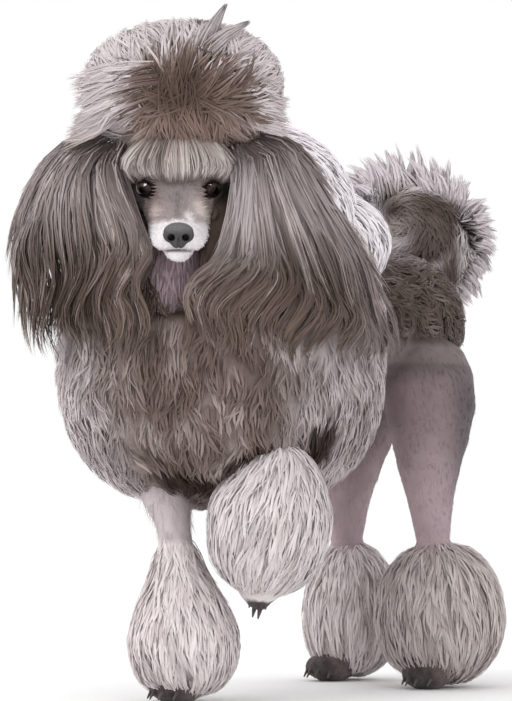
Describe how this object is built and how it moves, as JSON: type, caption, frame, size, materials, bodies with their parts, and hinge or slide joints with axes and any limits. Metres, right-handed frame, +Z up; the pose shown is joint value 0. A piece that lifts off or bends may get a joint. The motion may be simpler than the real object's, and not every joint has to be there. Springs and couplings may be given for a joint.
{
  "type": "standard poodle",
  "caption": "Standing, walking poodle in show clip, left foreleg lifted, head turned to its left, with mane, topknot, bracelets and plumed tail.",
  "frame": {"origin": "on the floor, under the middle of the whole animal with its coat", "axes": "+Z up, the animal walks along -Y, its left side is +X"},
  "size_m": [0.4366, 0.889, 0.8385],
  "materials": {
    "coat": "woolly, matt",
    "long_coat": "long wavy hair, silky",
    "topknot_coat": "long straight hair, silky",
    "pale_coat": "fluffy, matt",
    "saddle_coat": "short curls, matt",
    "short_coat": "clipped close, matt",
    "face_coat": "clipped close, matt",
    "nose_leather": "moist, satin",
    "eye": "clear and wet"
  },
  "bodies": {
    "root": {"bracelet_front_left": "pale_coat", "bracelet_front_right": "pale_coat", "bracelet_hind_left": "pale_coat", "bracelet_hind_right": "pale_coat", "ear_left": "long_coat", "ear_right": "long_coat", "eye_left": "eye", "eye_right": "eye", "head": "face_coat", "leg_front_left": "short_coat", "leg_front_right": "short_coat", "leg_hind_left": "short_coat", "leg_hind_right": "short_coat", "loin": "saddle_coat", "neck": "coat", "nose": "nose_leather", "paw_front_left": "pale_coat", "paw_front_right": "pale_coat", "paw_hind_left": "pale_coat", "paw_hind_right": "pale_coat", "rump": "saddle_coat", "tail_end": "pale_coat", "tail_root": "pale_coat", "topknot": "topknot_coat", "torso": "coat"}
  },
  "joints": []
}
